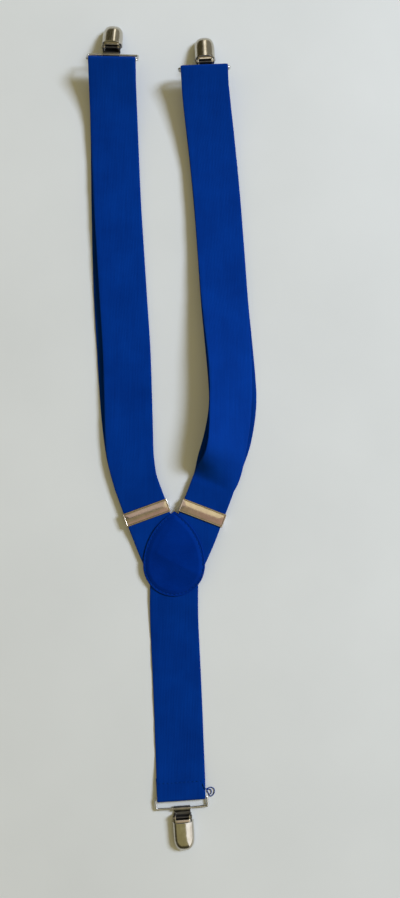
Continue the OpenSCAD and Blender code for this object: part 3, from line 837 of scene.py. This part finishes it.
def hem_stitching():
    """One row across the hem of the rear strap, just before its fold."""
    a, b = np.array(REAR_RUN[-2][:3]), np.array(REAR_RUN[-1][:3])
    ahead = unit(b - a)
    across = joint_axis("clip_rear_loop_swing")
    up = unit(np.cross(across, ahead))
    middle = 0.4 * a + 0.6 * b + up * (WEB_T / 2)
    stitches = [stitch_rings(middle + x * across, across, up, 0.25) for x in range(-15, 16, 3)]
    stitches_piece("rear_hem_stitching_thread", stitches, "rear_hem_stitching")


# ---------------------------------------------------------------- slides

SLIDE_T = 0.7
SLIDE_IN = WEB_SLIDE_W + 0.6
SLIDE_OUT = SLIDE_IN + 2 * SLIDE_T
PLATE_Z = RUN_Z + WEB_T / 2 + CLEAR
PLATE_T = 0.9
RIM_W = 0.9
PANEL_DEEP = 0.25
PANEL_CROWN = 0.24
LUG_Y = 3.5
SLOT_FIT = 0.05


def rounded_rectangle(half_x, half_y, radius, steps=5):
    """Points round a rectangle, with sharp corners where the radius is tiny."""
    points = []
    for k, (sx, sy) in enumerate(((1, 1), (-1, 1), (-1, -1), (1, -1))):
        for angle in np.radians(np.linspace(90 * k, 90 * k + 90, steps)):
            x = sx * (half_x - radius) + radius * math.cos(angle)
            y = sy * (half_y - radius) + radius * math.sin(angle)
            points.append([x, y])
    return np.array(points)


def cell_solid(y_breaks, z_breaks, filled, x_low, x_high):
    """A slab across x whose side view is the filled cells of a grid; only its outside has faces."""
    corner = {}
    points, faces = [], []

    def vertex(i, j, x):
        if (i, j, x) not in corner:
            corner[i, j, x] = len(points)
            points.append([x, y_breaks[i], z_breaks[j]])
        return corner[i, j, x]

    for i, j in sorted(filled):
        around = [(i, j), (i + 1, j), (i + 1, j + 1), (i, j + 1)]
        for x in (x_low, x_high):
            faces.append([vertex(*c, x) for c in around])
        for k, beside in enumerate(((i, j - 1), (i + 1, j), (i, j + 1), (i - 1, j))):
            if beside not in filled:
                a, b = around[k], around[(k + 1) % 4]
                faces.append([vertex(*a, x_low), vertex(*b, x_low), vertex(*b, x_high), vertex(*a, x_high)])
    return np.array(points), faces


def slide_front():
    """The slide's front plate: a bevelled rim round a sunk, slightly domed panel."""
    half_x, half_y, top = SLIDE_OUT / 2, SLIDE_H / 2, PLATE_Z + PLATE_T
    profile = [
        (2, PLATE_Z, 0.02), (0.15, PLATE_Z, 0.35), (0, PLATE_Z + 0.15, 0.45), (0, top - 0.35, 0.45),
        (0.1, top - 0.12, 0.4), (0.32, top, 0.3), (RIM_W - 0.15, top, 0.15),
        (RIM_W, top - 0.08, 0.1), (RIM_W + 0.12, top - PANEL_DEEP, 0.08),
    ]
    rings = []
    for inset, z, radius in profile:
        spots = rounded_rectangle(half_x - inset, half_y - inset, radius)
        rings.append(np.column_stack([spots, np.full(len(spots), z)]))
    for d in (1.5, 1.8, 2.2, 2.8, 3.5, 4.2, 4.7):
        spots = rounded_rectangle(half_x - d, half_y - d, 0.05)
        across = np.clip(1 - (spots[:, 1] / (half_y - RIM_W)) ** 2, 0, 1)
        rings.append(np.column_stack([spots, top - PANEL_DEEP + PANEL_CROWN * across]))
    size = len(rings[0])
    faces = [list(f) for f in quads_between(len(rings), size, True)]
    faces += [list(range(size)), list(range((len(rings) - 1) * size, len(rings) * size))]
    return np.vstack(rings), faces


def slide_cheeks():
    """The two folded ends of the plate, with lugs pierced for the bar."""
    bar_low, bar_high = BAR_Z - BAR_T / 2 - SLOT_FIT, BAR_Z + BAR_T / 2 + SLOT_FIT
    bar_half = BAR_H / 2 + SLOT_FIT
    y_breaks = [-SLIDE_H / 2, -LUG_Y, -bar_half, bar_half, LUG_Y, SLIDE_H / 2]
    z_breaks = [bar_low - 0.4, bar_low, bar_high, RUN_Z - 1, PLATE_Z + 0.2]
    filled = {(i, j) for i in range(5) for j in range(4)} - {(2, 1)}
    filled -= {(i, j) for i in (0, 4) for j in range(3)}
    left = cell_solid(y_breaks, z_breaks, filled, -SLIDE_OUT / 2, -SLIDE_IN / 2)
    right = cell_solid(y_breaks, z_breaks, filled, SLIDE_IN / 2, SLIDE_OUT / 2)
    return left, right


def join_parts(parts):
    """One list of points and one of faces from several."""
    points, faces, first = [], [], 0
    for part_points, part_faces in parts:
        points.append(np.asarray(part_points))
        faces += [[first + int(k) for k in f] for f in part_faces]
        first += len(part_points)
    return np.vstack(points), faces


def slide(side):
    """A slide's plate with its cheeks as one piece, and its bar."""
    middle, heading, across = slide_axes(side)
    points, faces = join_parts([slide_front(), *slide_cheeks()])
    points = middle + points[:, :1] * across + points[:, 1:2] * heading + points[:, 2:] * UP
    plate = new_piece(f"slide_{side}_polished_plate", points, faces, sharp_deg=28)
    soften_edges(plate, 0.1)
    finish_piece(plate, SLIDE_NICKEL, f"slide_{side}", "slide_nickel", f"slide_{side}_plate")
    keep_cad(f"slide_{side}_bar", SLIDE_STEEL, 0.15)


def keep_cad(node, material, softened):
    """Shows a CAD node itself, with softened edges and its own material."""
    shown = frame["nodes"][node]
    shown.data.materials.clear()
    shown.data.materials.append(material)
    soften_edges(shown, softened, 40)


# ---------------------------------------------------------------- clips

EYE_W = 1.68
SHEET_T = 0.8
PIN_U, PIN_W = 5.6, 3.8
CLIP_L = 29.2
LID_W, LID_H, LID_LOW = 15.0, 7.0, 1.3
SADDLE_U = 6.8
RIM_U = 8.4
NOSE_U = 19.0
NOSE_POWER = 2.5
BEAD_L, BEAD_OUT = 0.7, 0.3
CHEEK_OUT, CHEEK_IN = 5.55, 4.75
CAM_BACK = 1.4
MOUTH_H = PIN_W + CAM_BACK
LOOP_H = 7.5
LOOP_CORNER = 1.2
LOOP_W = FOLD_W + 2 * LOOP_CORNER + 0.1
LOOP_PULL = 0.35
EYE_HALF = 6.4


class ClipFrame:
    """A clip's own axes: v across it, u along it from its eye, w up from its base's underside."""

    def __init__(self, clip):
        self.across = joint_axis(f"clip_{clip}_loop_swing")
        level = np.cross(UP, self.across)
        self.eye = joint_place(f"clip_{clip}_swing")
        to_pin = joint_place(f"clip_{clip}_lid_open") - self.eye
        dip = math.atan2(to_pin @ UP, to_pin @ level) - math.atan2(PIN_W - EYE_W, PIN_U)
        self.along = math.cos(dip) * level + math.sin(dip) * UP
        self.up = np.cross(self.across, self.along)

    def place(self, vuw):
        v, u, w = np.asarray(vuw, float).T
        return self.eye + v[:, None] * self.across + u[:, None] * self.along + (w - EYE_W)[:, None] * self.up


ARCH_STEPS = 40


def dome_arch(u, half_w, height):
    """An arch of points across the lid, from its left lower edge over the top to its right."""
    angle = np.linspace(np.pi, 0, ARCH_STEPS + 1)
    c, s = np.cos(angle), np.sin(angle)
    v = np.sign(c) * half_w * np.abs(c) ** 0.8
    w = LID_LOW + (height - LID_LOW) * np.abs(s) ** 0.8
    return np.column_stack([v, np.full(len(v), u), w])


def mouth_arch(u):
    """The mouth's square outline with as many points as an arch."""
    up = ARCH_STEPS * 3 // 10
    over = ARCH_STEPS - 2 * up
    top = np.linspace(-CHEEK_IN, CHEEK_IN, over + 1)
    v = np.concatenate([np.full(up, -CHEEK_IN), top, np.full(up, CHEEK_IN)])
    rise = LID_LOW + (MOUTH_H - LID_LOW) * np.arange(up) / up
    w = np.concatenate([rise, np.full(over + 1, MOUTH_H), rise[::-1]])
    return np.column_stack([v, np.full(len(v), u), w])


def dome_arches(near, inset):
    """Arches from the lid's near end to its blunt, rounded nose."""
    reach = CLIP_L - inset - NOSE_U
    arches = [dome_arch(u, LID_W / 2 - inset, LID_H - inset) for u in np.linspace(near, NOSE_U, 14)]
    for angle in np.radians([*range(8, 85, 6), 86, 88.5, 89.7]):
        narrow = math.cos(angle) ** (2 / NOSE_POWER)
        u = NOSE_U + reach * math.sin(angle) ** (2 / NOSE_POWER)
        height = LID_LOW + (LID_H - inset - LID_LOW) * math.cos(angle) ** 0.9
        arches.append(dome_arch(u, (LID_W / 2 - inset) * narrow, height))
    return arches


def lid_shell():
    """The hollow lid: dome, bead, near wall with its mouth, and the inside."""
    half, top = LID_W / 2, LID_H
    bead = [
        dome_arch(RIM_U, half - 0.1, top - 0.1),
        dome_arch(RIM_U + 0.03, half + 0.12, top + 0.12),
        dome_arch(RIM_U + 0.18, half + BEAD_OUT, top + BEAD_OUT),
        dome_arch(RIM_U + BEAD_L - 0.15, half + BEAD_OUT, top + BEAD_OUT),
        dome_arch(RIM_U + BEAD_L, half + 0.12, top + 0.12),
    ]
    outer = dome_arches(RIM_U + BEAD_L + 0.05, 0)
    inner = dome_arches(RIM_U + SHEET_T, SHEET_T)
    arches = [mouth_arch(RIM_U + SHEET_T), mouth_arch(RIM_U), *bead, *outer, *inner[::-1]]
    size = ARCH_STEPS + 1
    points = np.vstack(arches)
    first_outer = 2 + len(bead)
    last_outer = first_outer + len(outer) - 1
    first_inner = len(arches) - 1
    faces = [list(f) for f in quads_between(last_outer + 1, size, False)]
    faces += [[(last_outer + 1) * size + int(k) for k in f] for f in quads_between(len(inner), size, False)]
    near_wall = [first_inner * size, 0]
    faces += [[near_wall[0] + k, near_wall[0] + k + 1, k + 1, k] for k in range(size - 1)]
    for i in range(len(outer) - 1):
        a, b = (first_outer + i) * size, (first_outer + i + 1) * size
        c, d = (first_inner - i - 1) * size, (first_inner - i) * size
        faces += [[a, b, c, d], [a + size - 1, b + size - 1, c + size - 1, d + size - 1]]
    sill = [i * size for i in range(first_outer + 1)] + [first_inner * size]
    faces += [sill, [k + size - 1 for k in sill]]
    tip_out, tip_in = last_outer * size, (last_outer + 1) * size
    faces += [list(range(tip_out, tip_out + size)), list(range(tip_in, tip_in + size))]
    faces.append([tip_out, tip_out + size - 1, tip_in + size - 1, tip_in])
    return points, faces


LID_OPEN_DEG = 100
CAM_R = 2.1
CAM_DROP = 0.53
PIN_HOLE_R = 0.78


def lid_cheek(side):
    """A side plate on the pin, with the cam that presses the tongue down."""
    angle = 2 * np.pi * np.arange(72) / 72
    turn = np.degrees(np.mod(-np.pi / 2 - angle + np.pi, 2 * np.pi) - np.pi)
    cam = CAM_R - CAM_DROP * np.clip(turn / LID_OPEN_DEG, 0, 1)
    reach = np.where((turn > -22) & (turn < LID_OPEN_DEG + 22), cam, CAM_BACK)
    c, s = np.cos(angle), np.sin(angle)
    web = RIM_U - PIN_U + SHEET_T / 2
    with np.errstate(divide="ignore"):
        arm = np.where(c > 0, np.minimum(web / np.abs(c), CAM_BACK / np.maximum(np.abs(s), 1e-6)), 0)
    reach = np.maximum(reach, arm)
    low, high = sorted((side * CHEEK_IN, side * CHEEK_OUT))
    profile = [(low, PIN_HOLE_R), (low, reach - 0.08), (low + 0.08, reach)]
    profile += [(high - 0.08, reach), (high, reach - 0.08), (high, PIN_HOLE_R)]
    rings = []
    for v, radius in profile:
        rings.append(np.column_stack([np.full(len(angle), v), PIN_U + radius * c, PIN_W + radius * s]))
    size = len(angle)
    faces = [list(f) for f in quads_between(len(rings), size, True)]
    last = (len(rings) - 1) * size
    faces += [[k, (k + 1) % size, last + (k + 1) % size, last + k] for k in range(size)]
    return np.vstack(rings), faces


def lid_saddle():
    """The rolled strip over the pin that spans the cheeks at the lid's near end."""
    angle = np.linspace(np.pi, 0, 33)
    c, s = np.cos(angle), np.sin(angle)

    def arch(inset, low):
        v = np.sign(c) * (CHEEK_OUT - inset) * np.abs(c) ** 0.28
        w = low + (MOUTH_H + SHEET_T / 2 - inset - low) * np.abs(s) ** 0.28
        return np.column_stack([v, w])

    rings = []
    profile = [(SADDLE_U, 0.26), (SADDLE_U + 0.08, 0.1), (SADDLE_U + 0.25, 0), (RIM_U + SHEET_T / 2, 0)]
    for u, thin in profile:
        ring = np.vstack([arch(thin, MOUTH_H - 0.4), arch(SHEET_T - thin, MOUTH_H - 0.4)[::-1]])
        rings.append(np.column_stack([ring[:, 0], np.full(len(ring), u), ring[:, 1]]))
    size = len(rings[0])
    faces = [list(f) for f in quads_between(len(rings), size, True)]
    faces += [list(range(size)), list(range((len(rings) - 1) * size, len(rings) * size))]
    return np.vstack(rings), faces


def lid(clip, axes):
    """A lid as one piece: dome, saddle and two cheeks."""
    points, faces = join_parts([lid_shell(), lid_saddle(), lid_cheek(-1), lid_cheek(1)])
    piece = new_piece(f"clip_{clip}_domed_lid", axes.place(points), faces, sharp_deg=38)
    finish_piece(piece, CLIP_NICKEL, f"clip_{clip}_lever", "clip_nickel", f"clip_{clip}_lid")


def wire_loop(clip, axes):
    """The wire rectangle that joins strap and clip; its clip bar is drawn slightly to a V."""
    bar = joint_place(f"clip_{clip}_loop_swing")
    slip = float((axes.eye - bar) @ axes.across)
    outward = unit(axes.eye - bar - slip * axes.across)
    half = LOOP_W / 2
    corners = [(half, 0), (half, LOOP_H), (-half, LOOP_H), (-half, 0)]
    line = []
    for k, (x, y) in enumerate(corners):
        cx = x - math.copysign(LOOP_CORNER, x)
        cy = y + (LOOP_CORNER if y == 0 else -LOOP_CORNER)
        for angle in np.radians(np.linspace(-90, 0, 9) + 90 * k):
            line.append([cx + LOOP_CORNER * math.cos(angle), cy + LOOP_CORNER * math.sin(angle)])
        if k % 2:
            line += [[x, y] for x in np.linspace(cx, -cx, 40)[1:-1]]
    line = np.array(line)
    beyond_eye = np.clip((np.abs(line[:, 0] - slip) - EYE_HALF) / (half - EYE_HALF), 0, 1)
    pull = LOOP_PULL * beyond_eye * (line[:, 1] / LOOP_H)
    middle = bar + line[:, :1] * axes.across + (line[:, 1:] - pull[:, None]) * outward
    normal = np.cross(axes.across, outward)
    rings = tube_rings(middle, WIRE_R, 14, closed=True, normal=normal)
    count, size = rings.shape[:2]
    faces = [list(f) for f in quads_between(count, size, True)]
    last = (count - 1) * size
    faces += [[last + k, last + (k + 1) % size, (k + 1) % size, k] for k in range(size)]
    piece = new_piece(f"clip_{clip}_bent_wire", rings.reshape(-1, 3), faces)
    finish_piece(piece, WIRE_STEEL, f"clip_{clip}_wire", "steel_wire", f"clip_{clip}_loop")


def clips():
    for clip in CLIPS:
        axes = ClipFrame(clip)
        lid(clip, axes)
        wire_loop(clip, axes)
        # Painted shade: the base gets nickel painted far darker than the lid's.
        keep_cad(f"clip_{clip}_base", SHADED_BASE_NICKEL, 0.1)
        # Painted shade: pin and jaw get steel painted far darker than the wire's.
        keep_cad(f"clip_{clip}_pin", SHADED_SPRING_STEEL, 0.1)
        keep_cad(f"clip_{clip}_jaw", SHADED_SPRING_STEEL, 0.08)


# ---------------------------------------------------------------- floor and light


def floor():
    half = 4.0
    mesh = bpy.data.meshes.new("floor")
    level = -0.0001
    corners = [(x * half, y * half, level) for x, y in ((-1, -1), (1, -1), (1, 1), (-1, 1))]
    mesh.from_pydata(corners, [], [(0, 1, 2, 3)])
    plane = bpy.data.objects.new("floor", mesh)
    bpy.context.scene.collection.objects.link(plane)
    plane.data.materials.append(floor_material())


def area_light(name, azimuth, elevation, distance, size, power, colour):
    """A soft rectangular lamp aimed at the middle of the object. Azimuth 0 is +Y and 90 is +X."""
    target = Vector((0, 0.1, 0))
    a, e = math.radians(azimuth), math.radians(elevation)
    away = Vector((math.sin(a) * math.cos(e), math.cos(a) * math.cos(e), math.sin(e)))
    data = bpy.data.lights.new(name, "AREA")
    data.shape = "RECTANGLE"
    data.size, data.size_y = size
    data.energy = power
    data.color = colour
    lamp = bpy.data.objects.new(name, data)
    lamp.location = target + away * distance
    lamp.rotation_mode = "QUATERNION"
    lamp.rotation_quaternion = away.to_track_quat("Z", "Y")
    lamp.visible_camera = False
    bpy.context.scene.collection.objects.link(lamp)
    return lamp


# What the polished metal reflects: azimuths and elevations in degrees, and radiance
REFLECTED_ROOM = [
    ((-120, -2), (2, 48), (0.07, 0.06, 0.03)),
    ((6, 45), (2, 48), (0.26, 0.25, 0.21)),
    ((-1, 3), (4, 60), (2.2, 2.1, 1.9)),
    ((68, 118), (-4, 60), (1.2, 1.2, 1.25)),
    ((118, 154), (10, 74), (1.5, 1.5, 1.55)),
    ((154, 250), (30, 74), (0.36, 0.33, 0.17)),
    ((154, 250), (2, 30), (0.06, 0.055, 0.03)),
    ((-84, -20), (76, 89.9), (0.8, 0.66, 0.62)),
    ((-20, 90), (76, 89.9), (1.3, 1.18, 0.86)),
    ((90, 200), (74, 89.9), (0.62, 0.44, 0.38)),
    ((200, 260), (74, 89.9), (0.4, 0.36, 0.22)),
    ((260, 276), (74, 89.9), (0.03, 0.03, 0.03)),
]


def card(azimuths, elevations, colour, distance=3.0, steps=8):
    """A glowing part of a sphere round the object that only reflections see."""
    points = []
    for e in np.radians(np.linspace(*elevations, steps + 1)):
        for a in np.radians(np.linspace(*azimuths, steps + 1)):
            points.append([math.sin(a) * math.cos(e), math.cos(a) * math.cos(e), math.sin(e)])
    points = np.array(points) * distance / MM
    glow = bpy.data.materials.new("room_glow")
    glow.use_nodes = True
    nodes = glow.node_tree.nodes
    nodes.clear()
    emission = nodes.new("ShaderNodeEmission")
    emission.inputs["Color"].default_value = (*colour, 1)
    output = nodes.new("ShaderNodeOutputMaterial")
    glow.node_tree.links.new(emission.outputs[0], output.inputs["Surface"])
    shown = new_piece("room_card", points, quads_between(steps + 1, steps + 1, False))
    shown.data.materials.append(glow)
    shown.visible_camera = False
    shown.visible_diffuse = False
    shown.visible_shadow = False
    shown.visible_transmission = False


def lighting():
    world = bpy.data.worlds.new("room")
    bpy.context.scene.world = world
    world.use_nodes = True
    background = world.node_tree.nodes["Background"]
    background.inputs["Color"].default_value = (0.36, 0.315, 0.17, 1)
    background.inputs["Strength"].default_value = 1.0
    area_light("window", 65, 41, 3.0, (0.9, 0.85), 92, (0.71, 0.805, 1.0))
    for azimuths, elevations, colour in REFLECTED_ROOM:
        card(azimuths, elevations, colour)


bpy.context.scene.view_settings.view_transform = "Standard"


# ---------------------------------------------------------------- build

floor()
lighting()
front_straps()
rear_strap()
underside = draped_height()
front_patch(underside)
back_patch()
yoke_stitching(underside)
hem_stitching()
for side in SIDES:
    slide(side)
clips()
